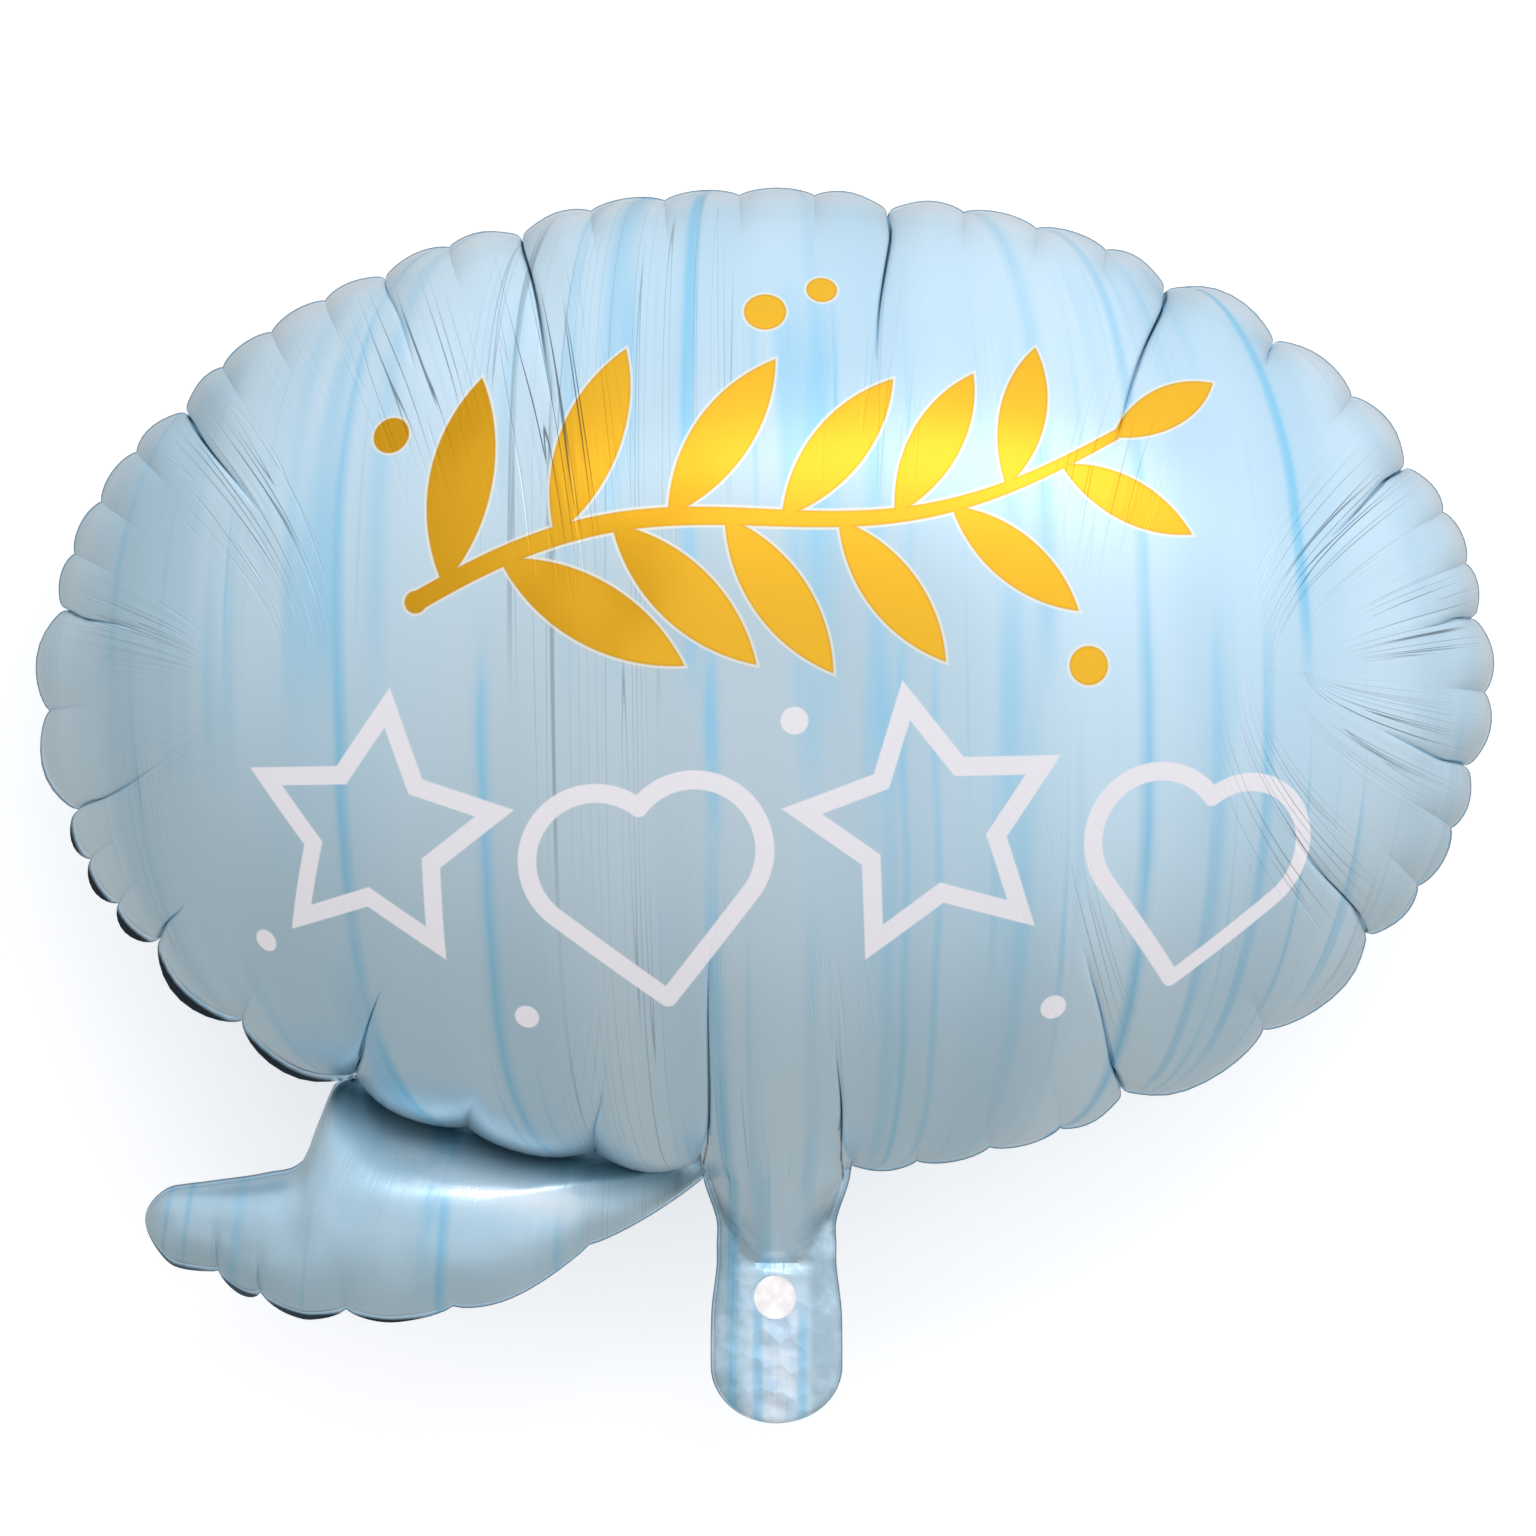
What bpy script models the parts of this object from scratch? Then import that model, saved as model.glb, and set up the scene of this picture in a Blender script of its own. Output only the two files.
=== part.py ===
"""Foil balloon shaped like a speech bubble, filled and lying on its back.

Two sheets of foil are heat-sealed together all round, so the filled bag is one sealed solid: an oval body
with a puckered rim, a curled tail at its lower left and a flat filling neck at the bottom. White valve film
shows through the filling hole in the neck. Metres, +Z up out of the printed face, +Y to the bubble's top.
The origin is under the middle of the whole outline, on the surface that the back rests on.
"""

import math

import bmesh
import bpy
from mathutils import Matrix, Vector

# Oval body, measured over the seam
BODY_WIDTH = 0.657
BODY_HEIGHT = 0.447
BODY_DEPTH = 0.270
BODY_LEAN_DEG = 0.85
REST_PRESS = 0.003

# Heat-sealed margin round the whole outline
SEAM_WIDTH = 0.004
SEAM_THICKNESS = 0.0012

# Small scallops between the creases, and the fold of each crease
SCALLOP_RISE = 0.0042
SCALLOP_REACH = 0.034
SCALLOP_MEAN = 0.40
CREASE_SPREAD = 0.015
CREASE_SHARPNESS = 0.0035
CREASE_STRAIGHT_FROM = 0.35

# Creases that run in from the rim: bearing round the oval in degrees, pull at the rim, reach inwards,
# and how many scallops lie between this crease and the next
CREASES = (
    (6.7, 0.0045, 0.036, 3),
    (25.7, 0.0060, 0.061, 2),
    (44.1, 0.0035, 0.020, 1),
    (55.2, 0.0090, 0.089, 4),
    (79.6, 0.0070, 0.086, 5),
    (109.5, 0.0070, 0.092, 2),
    (121.6, 0.0035, 0.055, 4),
    (144.0, 0.0065, 0.068, 4),
    (169.7, 0.0045, 0.047, 2),
    (194.1, 0.0045, 0.055, 3),
    (211.0, 0.0040, 0.033, 2),
    (234.1, 0.0060, 0.057, 2),
    (255.6, 0.0035, 0.050, 1),
    (264.4, 0.0080, 0.110, 1),
    (275.5, 0.0080, 0.065, 4),
    (299.5, 0.0080, 0.077, 2),
    (327.1, 0.0055, 0.069, 3),
    (348.8, 0.0045, 0.055, 2),
)

# Curled tail: how far it runs out to the left of its root, and the bearing of the root on the rim
TAIL_LENGTH = 0.266
TAIL_ROOT_BEARING_DEG = 266.6
TAIL_TIP_RADIUS = 0.014

# Tail sections: share of the length, drop of the upper and the lower edge below the root, half-depth, and how
# far the upper side sinks into a valley beside the body; drops and half-depth are shares of the length too,
# and the first upper edges lie inside the body
TAIL_SECTIONS = (
    (0.000, -0.060, -0.032, 0.022, 0.60),
    (0.048, -0.066, 0.010, 0.036, 0.70),
    (0.227, -0.086, 0.124, 0.073, 0.80),
    (0.398, -0.126, 0.220, 0.103, 0.80),
    (0.568, -0.163, 0.246, 0.113, 0.75),
    (0.670, -0.163, 0.242, 0.105, 0.50),
    (0.706, -0.085, 0.240, 0.098, 0.20),
    (0.730, -0.026, 0.238, 0.090, 0.05),
    (0.790, -0.006, 0.220, 0.075, 0.00),
    (0.883, 0.008, 0.173, 0.056, 0.00),
    (0.952, 0.017, 0.150, 0.041, 0.00),
    (1.000, 0.027, 0.122, 0.030, 0.00),
)

# Shares of the tail's length where its lower edge is pinched, and how deep
TAIL_PINCHES = (0.0, 0.241, 0.474, 0.657, 0.803, 0.875, 1.0)
TAIL_PINCH_DEPTH = 0.0038

# Filling neck: a throat that tapers out of the body, then two flat films with the valve between them
NECK_OFFSET = 0.0047
NECK_LENGTH = 0.1125
NECK_MOUTH_WIDTH = 0.067
NECK_WAIST_WIDTH = 0.0545
NECK_WIDTH = 0.0594
THROAT_END_WIDTH = 0.026
NECK_FLAT_THICKNESS = 0.0062
NECK_END_RADIUS = 0.026

# Filling hole in the front film, and the valve film that shows in it
FILL_HOLE_DIAMETER = 0.0208
FILL_HOLE_FROM_RIM = 0.0550
FILL_HOLE_OFFSET = -0.0015
FILL_HOLE_DEPTH = 0.0018
VALVE_THICKNESS = 0.0008
CLEARANCE = 0.0003

# A filled foil bag bulges like a mylar balloon: flat in the middle, upright at the rim
BULGE_POWER = 2.79

# How finely the skins are divided
SEGMENTS_PER_SCALLOP = 4
BODY_RINGS = 8
TAIL_TIP_STEPS = 6
TAIL_ARCH_STEPS = 8
NECK_COLUMNS = 24
NECK_ARCH_STEPS = 10
HOLE_SEGMENTS = 48
WELD = 1e-5

FOIL_BLUE = (0.50, 0.71, 0.84, 1.0)
VALVE_WHITE = (0.90, 0.89, 0.91, 1.0)

HALF_SEAM = SEAM_THICKNESS / 2
HALF_DEPTH = BODY_DEPTH / 2
SEMI_WIDTH = BODY_WIDTH / 2 - SEAM_WIDTH
SEMI_HEIGHT = BODY_HEIGHT / 2 - SEAM_WIDTH
RIM_BOTTOM = -BODY_HEIGHT / 2


def fade(share):
    """1 at the start of a reach, falling smoothly to 0 at its end."""
    share = min(max(share, 0.0), 1.0)
    return (1 - share) ** 2 * (1 + 2 * share)


def bulge(share):
    """Height of a filled skin, from 1 in its middle to 0 at its rim."""
    return math.sqrt(max(0.0, 1 - min(share, 1.0) ** BULGE_POWER))


def arch(share):
    """Height of one scallop, from 0 at its ends to 1 in its middle."""
    return (4 * share * (1 - share)) ** 0.75


def through(stations, place):
    """Values at a place on the smooth curve through stations, each one (place, value, value, ...)."""
    last = len(stations) - 2
    i = max([0] + [k for k in range(last + 1) if stations[k][0] <= place])
    before, start, end, after = (stations[min(max(k, 0), last + 1)] for k in range(i - 1, i + 3))
    gap = end[0] - start[0]
    t = min(max((place - start[0]) / gap, 0.0), 1.0)
    values = []
    for k in range(1, len(start)):
        slope_in = (end[k] - before[k]) / (end[0] - before[0]) * gap
        slope_out = (after[k] - start[k]) / (after[0] - start[0]) * gap
        values.append(
            start[k] * (2 * t**3 - 3 * t**2 + 1)
            + slope_in * (t**3 - 2 * t**2 + t)
            + end[k] * (3 * t**2 - 2 * t**3)
            + slope_out * (t**3 - t**2)
        )
    return values


def skin(name, columns, rows, place):
    """A grid bent into a closed skin by place(column, row), with the edges that meet welded."""
    bm = bmesh.new()
    bmesh.ops.create_grid(bm, x_segments=columns, y_segments=rows, size=0.5)
    for vert in bm.verts:
        column = round((vert.co.x + 0.5) * columns)
        row = round((vert.co.y + 0.5) * rows)
        vert.co = place(column, row)
    bmesh.ops.remove_doubles(bm, verts=bm.verts, dist=WELD)
    bmesh.ops.dissolve_degenerate(bm, dist=WELD, edges=bm.edges)
    bmesh.ops.triangulate(bm, faces=bm.faces)
    bmesh.ops.recalc_face_normals(bm, faces=bm.faces)
    mesh = bpy.data.meshes.new(name)
    bm.to_mesh(mesh)
    bm.free()
    return bpy.data.objects.new(name, mesh)


def rim_bearings():
    """Bearing of every column on the rim, so that each crease and each pinch between scallops has its own."""
    bearings = []
    for i, (start, _, _, scallops) in enumerate(CREASES):
        end = CREASES[(i + 1) % len(CREASES)][0]
        sweep = (end - start) % 360
        steps = scallops * SEGMENTS_PER_SCALLOP
        bearings += [math.radians(start + sweep * step / steps) for step in range(steps)]
    return [*bearings, bearings[0] + math.tau]


def scallop_at(rim, column):
    """Standing of a column's scallop about its mean: a wide scallop stands out further than a narrow one."""
    columns = len(rim) - 1
    step = column % SEGMENTS_PER_SCALLOP
    first = (column - step) % columns
    swell = (rim[first + SEGMENTS_PER_SCALLOP] - rim[first]) * columns / (math.tau * SEGMENTS_PER_SCALLOP)
    return SCALLOP_RISE * swell * (arch(step / SEGMENTS_PER_SCALLOP) - SCALLOP_MEAN)


def pucker(scallop, bearing, inward):
    """How far the skin stands out from the plain oval, at a bearing and a distance in from the rim."""
    rise = scallop * fade(inward / SCALLOP_REACH)
    per_radian = math.hypot(SEMI_WIDTH * math.sin(bearing), SEMI_HEIGHT * math.cos(bearing))
    for crease, pull, reach, _ in CREASES:
        turn = (bearing - math.radians(crease) + math.pi) % math.tau - math.pi
        away = abs(turn) * per_radian
        fold = 0.5 * math.exp(-((away / CREASE_SPREAD) ** 2)) + 0.5 * math.exp(-away / CREASE_SHARPNESS)
        rise -= pull * fold * fade(inward / reach)
    return rise


def make_body():
    """The oval, laid out on confocal ellipses so that its columns run straight in from the rim."""
    rim = rim_bearings()
    columns = len(rim) - 1
    focus = math.sqrt(SEMI_WIDTH**2 - SEMI_HEIGHT**2)
    rings = [(ring / BODY_RINGS, 0.0) for ring in range(BODY_RINGS + 1)]
    half = [(share, edge, 1) for share, edge in [*rings, (1.0, SEAM_WIDTH)]]
    rows = half + [(share, edge, -1) for share, edge, _ in reversed(half)]

    def place(column, row):
        share, edge, side = rows[row]
        bearing = math.tau * column / columns
        bearing += (rim[column] - bearing) * (1 - fade(share / CREASE_STRAIGHT_FROM))
        minor = SEMI_HEIGHT * math.sin(share * math.pi / 2)
        major = math.hypot(focus, minor)
        x = major * math.cos(bearing)
        y = minor * math.sin(bearing)
        out = min(math.hypot(x / SEMI_WIDTH, y / SEMI_HEIGHT), 1.0)
        z = (HALF_DEPTH - HALF_SEAM) * bulge(out)
        rim_x = SEMI_WIDTH * math.cos(bearing)
        rim_y = SEMI_HEIGHT * math.sin(bearing)
        inward = math.hypot(rim_x - x, rim_y - y)
        steep = BULGE_POWER * out ** (BULGE_POWER - 2)
        normal = Vector((steep * x / SEMI_WIDTH**2, steep * y / SEMI_HEIGHT**2, 2 * z / HALF_DEPTH**2))
        normal.normalize()
        standing = pucker(scallop_at(rim, column), bearing, inward)
        point = Vector((x, y, z + HALF_SEAM)) + normal * (standing + edge)
        point.z = max(side * point.z, REST_PRESS - HALF_DEPTH)
        return point

    body = skin("foil_envelope", columns, len(rows) - 1, place)
    body.rotation_euler.z = math.radians(BODY_LEAN_DEG)
    return body


def section_rows(steps):
    """Once round a limb's section: (share across from -1 to 1, on the seam's edge or not, front or back)."""
    arch = [(-math.cos(math.pi * step / steps), 0, 1) for step in range(steps + 1)]
    front = [(-1.0, -1, 1), *arch, (1.0, 1, 1)]
    back = [(across, edge, -1) for across, edge, _ in reversed(front)]
    return [*front, *back, front[0]]


def limb_point(centre, sideways, half_width, depth_at, row):
    """A point of a limb's section, which lies along the direction sideways, at one row of section_rows."""
    across, edge, side = row
    filled = max(half_width - SEAM_WIDTH, 0.0)
    reach = across * filled + edge * (half_width - filled)
    depth = HALF_SEAM + depth_at(across * filled, filled)
    return centre + sideways * reach + Vector((0.0, 0.0, side * depth))


def make_tail():
    """The curled tail, from inside the body's rim to its rounded tip at the left."""
    bearing = math.radians(TAIL_ROOT_BEARING_DEG)
    root = Vector((BODY_WIDTH / 2 * math.cos(bearing), BODY_HEIGHT / 2 * math.sin(bearing), 0.0))
    root.rotate(Matrix.Rotation(math.radians(BODY_LEAN_DEG), 3, "Z"))
    tip = TAIL_TIP_RADIUS / TAIL_LENGTH
    stops = []
    for start, end in zip(TAIL_PINCHES, TAIL_PINCHES[1:]):
        steps = TAIL_TIP_STEPS if end == 1.0 else SEGMENTS_PER_SCALLOP
        for step in range(steps):
            share = step / steps
            run = math.sin(share * math.pi / 2) if end == 1.0 else share
            stops.append((start + (end - start) * run, 1.0 if end == 1.0 and step else arch(share)))
    stops.append((1.0, 1.0))
    rows = section_rows(TAIL_ARCH_STEPS)

    def place(column, row):
        share, swell = stops[column]
        *sizes, sink = through(TAIL_SECTIONS, share)
        upper, lower, depth = (TAIL_LENGTH * size for size in sizes)
        lower -= TAIL_PINCH_DEPTH * (1 - swell)
        past = max(0.0, (share - (1 - tip)) / tip, (tip - share) / tip)
        rounding = math.sqrt(max(0.0, 1 - past**2))
        centre = root - Vector((share * TAIL_LENGTH, (upper + lower) / 2, 0.0))
        half_width = (lower - upper) / 2 * rounding

        def depth_at(off_centre, filled):
            across = off_centre / max(filled, WELD)
            valley = sink * (1 - fade(-across))
            return depth * rounding * bulge(abs(across)) * (1 - valley)

        return limb_point(centre, Vector((0.0, -1.0, 0.0)), half_width, depth_at, rows[row])

    return skin("tail", len(stops) - 1, len(rows) - 1, place)


def neck_sections():
    """Distance past the rim, half-width, and half-width and half-depth of the filled throat inside."""
    mouth = NECK_MOUTH_WIDTH / 2
    waist = NECK_WAIST_WIDTH / 2
    throat_end = THROAT_END_WIDTH / 2
    return (
        (-0.80 * NECK_LENGTH, 0.60 * mouth, 0.60 * mouth, 0.72 * HALF_DEPTH),
        (-0.36 * NECK_LENGTH, 0.95 * mouth, 0.95 * mouth, 0.57 * HALF_DEPTH),
        (-0.18 * NECK_LENGTH, 1.02 * mouth, 0.98 * mouth, 0.44 * HALF_DEPTH),
        (0.0, mouth, 0.90 * mouth, 0.31 * HALF_DEPTH),
        (0.18 * NECK_LENGTH, waist, 0.5 * mouth + 0.5 * throat_end, 0.16 * HALF_DEPTH),
        (0.28 * NECK_LENGTH, waist, 0.2 * mouth + 0.8 * throat_end, 0.07 * HALF_DEPTH),
        (0.36 * NECK_LENGTH, waist, throat_end, 0.0),
        (0.56 * NECK_LENGTH, NECK_WIDTH / 2, throat_end, 0.0),
        (NECK_LENGTH, NECK_WIDTH / 2, throat_end, 0.0),
    )


def make_neck():
    """The filling neck, hanging straight down from the middle of the rim."""
    sections = neck_sections()
    start = sections[0][0]
    flat = NECK_FLAT_THICKNESS / 2 - HALF_SEAM
    rows = section_rows(NECK_ARCH_STEPS)

    def place(column, row):
        t = column / NECK_COLUMNS
        along = start + (NECK_LENGTH - start) * math.sin(t * math.pi / 2)
        width, throat_width, throat_depth = through(sections, along)
        past = max(0.0, 1 - (NECK_LENGTH - along) / NECK_END_RADIUS)
        rounding = math.sqrt(max(0.0, 1 - past**2)) * min(1.0, column)

        def depth_at(off_centre, filled):
            film = flat * bulge(abs(off_centre) / max(filled, WELD))
            return rounding * (film + max(throat_depth, 0.0) * bulge(abs(off_centre) / throat_width))

        centre = Vector((NECK_OFFSET, RIM_BOTTOM - along, 0.0))
        return limb_point(centre, Vector((1.0, 0.0, 0.0)), width * rounding, depth_at, rows[row])

    return skin("neck", NECK_COLUMNS, len(rows) - 1, place)


def disc(name, radius, thickness, location):
    """An upright cylinder with its middle at location."""
    bpy.ops.mesh.primitive_cylinder_add(
        vertices=HOLE_SEGMENTS, radius=radius, depth=thickness, location=location
    )
    made = bpy.context.object
    made.name = name
    return made


def finish(name, colour, roughness, metallic):
    """A plain material."""
    made = bpy.data.materials.new(name)
    made.use_nodes = True
    shader = made.node_tree.nodes["Principled BSDF"]
    shader.inputs["Base Color"].default_value = colour
    shader.inputs["Roughness"].default_value = roughness
    shader.inputs["Metallic"].default_value = metallic
    return made


def move_to(collection, obj):
    for old in list(obj.users_collection):
        old.objects.unlink(obj)
    collection.objects.link(obj)


def set_aside(collection, obj):
    """obj only shapes another object, so it isn't part of the model."""
    move_to(collection, obj)
    obj.hide_render = True
    obj.display_type = "WIRE"


def shape_with(target, tool, operation):
    boolean = target.modifiers.new(tool.name, "BOOLEAN")
    boolean.operation = operation
    boolean.solver = "EXACT"
    boolean.object = tool


def lowest_and_highest(obj):
    """Corners of the finished shape's box."""
    depsgraph = bpy.context.evaluated_depsgraph_get()
    finished = obj.evaluated_get(depsgraph)
    points = [finished.matrix_world @ vert.co for vert in finished.data.vertices]
    low = Vector(min(point[axis] for point in points) for axis in range(3))
    high = Vector(max(point[axis] for point in points) for axis in range(3))
    return low, high


def main():
    for obj in list(bpy.data.objects):
        bpy.data.objects.remove(obj)
    model = bpy.data.collections.new("foil balloon")
    tools = bpy.data.collections.new("shaping tools")
    for collection in (model, tools):
        bpy.context.scene.collection.children.link(collection)

    envelope = make_body()
    move_to(model, envelope)
    envelope.data.materials.append(finish("blue foil", FOIL_BLUE, 0.32, 0.45))

    for limb in (make_neck(), make_tail()):
        set_aside(tools, limb)
        shape_with(envelope, limb, "UNION")

    hole_centre = Vector((NECK_OFFSET + FILL_HOLE_OFFSET, RIM_BOTTOM - FILL_HOLE_FROM_RIM, 0.0))
    hole_floor = NECK_FLAT_THICKNESS / 2 - FILL_HOLE_DEPTH
    hole_height = BODY_DEPTH
    above_floor = Vector((0.0, 0.0, hole_floor + hole_height / 2))
    hole = disc("filling hole", FILL_HOLE_DIAMETER / 2, hole_height, hole_centre + above_floor)
    set_aside(tools, hole)
    shape_with(envelope, hole, "DIFFERENCE")

    seated = Vector((0.0, 0.0, hole_floor + CLEARANCE + VALVE_THICKNESS / 2))
    valve = disc("valve_film", FILL_HOLE_DIAMETER / 2 - CLEARANCE, VALVE_THICKNESS, hole_centre + seated)
    move_to(model, valve)
    valve.data.materials.append(finish("valve film", VALVE_WHITE, 0.45, 0.0))

    bpy.context.view_layer.update()
    low, high = lowest_and_highest(envelope)
    middle = bpy.data.objects.new("resting place", None)
    model.objects.link(middle)
    middle.location = (-(low.x + high.x) / 2, -(low.y + high.y) / 2, -low.z)
    for obj in (envelope, valve, *tools.objects):
        obj.parent = middle


main()
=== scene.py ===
import math

import bmesh
import bpy
import numpy as np
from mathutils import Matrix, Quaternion, Vector, noise


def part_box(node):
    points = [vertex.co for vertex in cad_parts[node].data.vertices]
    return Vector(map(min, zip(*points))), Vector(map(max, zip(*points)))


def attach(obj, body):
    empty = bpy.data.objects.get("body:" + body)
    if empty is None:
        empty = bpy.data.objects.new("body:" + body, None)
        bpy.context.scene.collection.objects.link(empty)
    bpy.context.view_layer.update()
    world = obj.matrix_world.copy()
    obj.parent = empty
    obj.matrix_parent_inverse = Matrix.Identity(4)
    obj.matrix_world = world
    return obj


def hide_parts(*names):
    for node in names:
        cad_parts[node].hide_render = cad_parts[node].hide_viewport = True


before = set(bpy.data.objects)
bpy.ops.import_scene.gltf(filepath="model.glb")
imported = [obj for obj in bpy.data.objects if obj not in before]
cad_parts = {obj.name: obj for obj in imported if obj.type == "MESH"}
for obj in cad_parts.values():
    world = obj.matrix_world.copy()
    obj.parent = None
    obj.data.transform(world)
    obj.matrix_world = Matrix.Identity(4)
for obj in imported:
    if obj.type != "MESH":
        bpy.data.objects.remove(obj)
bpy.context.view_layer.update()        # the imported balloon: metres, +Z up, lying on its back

boxLow, boxHigh = (Vector(corner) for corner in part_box("foil_envelope"))
boxSize = boxHigh - boxLow
print("frame loaded:", ", ".join(sorted(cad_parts)))


# shared helpers

def fade(share):        # 1 at the start of a reach, falling smoothly to 0 at its end
    share = np.clip(share, 0.0, 1.0)
    return (1 - share) ** 2 * (1 + 2 * share)


def lasting(share):     # nearly 1 for most of a reach, then falling to 0 at its end
    return 1 - np.clip(share, 0.0, 1.0) ** 3


def bell(distance, width):
    return np.exp(-(distance / width) ** 2)


def arch(share):        # outline of one scallop, from 0 at its ends to 1 in its middle
    return (4 * share * (1 - share)) ** 0.75


def bulge(share):       # a filled skin's height, from 1 in the middle to 0 at the rim
    return np.sqrt(np.maximum(0.0, 1 - np.minimum(np.abs(share), 1.0) ** body["bulgePower"]))


def spanned(value, low, high, blur):        # 1 between low and high, falling to 0 at each of them
    return np.clip((value - low) / blur, 0.0, 1.0) * np.clip((high - value) / blur, 0.0, 1.0)


def wrapAngle(angle):
    return (angle + math.pi) % math.tau - math.pi


def smoothThrough(stations, places):        # a smooth curve through rows of (place, value, value, ...)
    table = np.array(stations, dtype=float)
    at, values = table[:, 0], table[:, 1:]
    before = np.maximum(np.arange(len(at)) - 1, 0)
    after = np.minimum(np.arange(len(at)) + 1, len(at) - 1)
    slopes = (values[after] - values[before]) / (at[after] - at[before])[:, None]
    first = np.clip(np.searchsorted(at, places, side="right") - 1, 0, len(at) - 2)
    gap = (at[first + 1] - at[first])[:, None]
    t = np.clip((places - at[first])[:, None] / gap, 0.0, 1.0)
    curve = values[first] * (2 * t**3 - 3 * t**2 + 1) + values[first + 1] * (3 * t**2 - 2 * t**3)
    curve += gap * (slopes[first] * (t**3 - 2 * t**2 + t) + slopes[first + 1] * (t**3 - t**2))
    return curve.T


def roughness3(points, scale, seed, basis="PERLIN_ORIGINAL"):        # noise at each point, from -1 to 1
    shift = Vector((seed, 3.1 * seed, -1.7 * seed))
    return np.array([noise.noise(Vector(point) * scale + shift, noise_basis=basis) for point in points])


def readPoints(mesh):
    flat = np.empty(len(mesh.vertices) * 3)
    mesh.vertices.foreach_get("co", flat)
    return flat.reshape(-1, 3)


def addAttribute(mesh, name, kind, values):
    layer = mesh.attributes.new(name, kind, "POINT")
    field = "vector" if kind == "FLOAT_VECTOR" else "value"
    layer.data.foreach_set(field, np.asarray(values, dtype=np.float32).ravel())


def newObject(name, data):
    made = bpy.data.objects.new(name, data)
    bpy.context.scene.collection.objects.link(made)
    return made


def closedSkin(name, columns, rows, place, dark=None):        # a grid that place(column, row) bends shut
    bm = bmesh.new()
    bmesh.ops.create_grid(bm, x_segments=columns, y_segments=rows, size=0.5)
    mesh = bpy.data.meshes.new(name)
    bm.to_mesh(mesh)
    grid = readPoints(mesh)
    column = np.rint((grid[:, 0] + 0.5) * columns).astype(int)
    row = np.rint((grid[:, 1] + 0.5) * rows).astype(int)
    mesh.vertices.foreach_set("co", place(column, row).ravel())
    addAttribute(mesh, "dark", "FLOAT", dark(column, row) if dark else np.zeros(len(row)))
    bm.clear()
    bm.from_mesh(mesh)
    bmesh.ops.remove_doubles(bm, verts=bm.verts, dist=1e-6)
    bmesh.ops.dissolve_degenerate(bm, dist=1e-6, edges=bm.edges)
    bmesh.ops.recalc_face_normals(bm, faces=bm.faces)
    bm.to_mesh(mesh)
    bm.free()
    return newObject(name, mesh)


def shapedBy(target, tools):        # target with each (tool, operation) applied; the tools are removed
    for tool, operation in tools:
        cut = target.modifiers.new(tool.name, "BOOLEAN")
        cut.operation = operation
        cut.solver = "MANIFOLD"
        cut.object = tool
    depsgraph = bpy.context.evaluated_depsgraph_get()
    mesh = bpy.data.meshes.new_from_object(target.evaluated_get(depsgraph))
    target.modifiers.clear()
    target.data = mesh
    for tool, operation in tools:
        bpy.data.objects.remove(tool)


# the oval body

body = {
    "wide": 0.657 / 0.662,          # size over the seam, as shares of the CAD box
    "tall": 0.447 / 0.5615,
    "deep": 0.270 / 0.267,
    "centre": (0.4991, 0.5984),     # middle of the oval, as shares of the CAD box
    "leanDeg": 0.85,
    "bulgePower": 2.79,
    "seamWidth": 0.0016,
    "seamThickness": 0.0009,
    "columnsPerScallop": 14,
    "crowding": 0.84,               # how far columns crowd towards the pinches
    "frontRows": 78,
    "backRows": 34,
    "straightFrom": 0.35,           # share of the way out where the columns reach their rim bearings
    "seamShade": 0.36,              # how dark the cut edge of the seam is
    "darkBearings": (190.0, 243.0),
    "darkWidth": 0.0042,
    "scallopRise": 0.0042,
    "scallopReach": 0.030,
    "scallopMean": 0.40,
    "creaseSpread": 0.014,
    "creaseWidth": 0.0008,
    "creaseSharp": 0.42,            # share of a crease's depth in its sharp middle
    "creaseWander": 0.0022,
    "creaseShade": 0.0010,
}

# creases: bearing in degrees, pull at the rim, reach inwards, scallops up to the next, strength of the fan of
# fine wrinkles at the inner end
creases = [
    (6.7, 0.0045, 0.036, 3, 0.9),
    (25.7, 0.0060, 0.061, 2, 0.9),
    (44.1, 0.0035, 0.020, 1, 0.0),
    (55.2, 0.0090, 0.089, 4, 0.4),
    (79.6, 0.0070, 0.086, 5, 0.3),
    (109.5, 0.0070, 0.092, 2, 1.0),
    (121.6, 0.0035, 0.055, 4, 1.0),
    (144.0, 0.0065, 0.068, 4, 1.0),
    (169.7, 0.0045, 0.047, 2, 0.6),
    (194.1, 0.0045, 0.055, 3, 0.3),
    (211.0, 0.0040, 0.033, 2, 0.2),
    (234.1, 0.0060, 0.057, 2, 0.3),
    (255.6, 0.0035, 0.050, 1, 0.4),
    (264.4, 0.0060, 0.110, 1, 0.2),
    (275.5, 0.0060, 0.065, 4, 0.4),
    (299.5, 0.0080, 0.077, 2, 0.6),
    (327.1, 0.0055, 0.069, 3, 1.0),
    (348.8, 0.0045, 0.055, 2, 0.9),
]

restDepth = boxSize.z * body["deep"] / 2        # from the seam to the uncompressed back
seamLevel = boxHigh.z - restDepth
bodyCentre = Vector((
    boxLow.x + body["centre"][0] * boxSize.x,
    boxLow.y + body["centre"][1] * boxSize.y,
    seamLevel,
))
halfSeam = body["seamThickness"] / 2
outerWide = boxSize.x * body["wide"] / 2        # half sizes over the seam, then inside it
outerTall = boxSize.y * body["tall"] / 2
semiWide = outerWide - body["seamWidth"]
semiTall = outerTall - body["seamWidth"]
focus = math.sqrt(semiWide**2 - semiTall**2)
rimBottom = bodyCentre.y - outerTall


def turned(points, degrees):
    angle = math.radians(degrees)
    x, y = points[:, 0].copy(), points[:, 1].copy()
    points[:, 0] = x * math.cos(angle) - y * math.sin(angle)
    points[:, 1] = x * math.sin(angle) + y * math.cos(angle)
    return points


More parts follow.
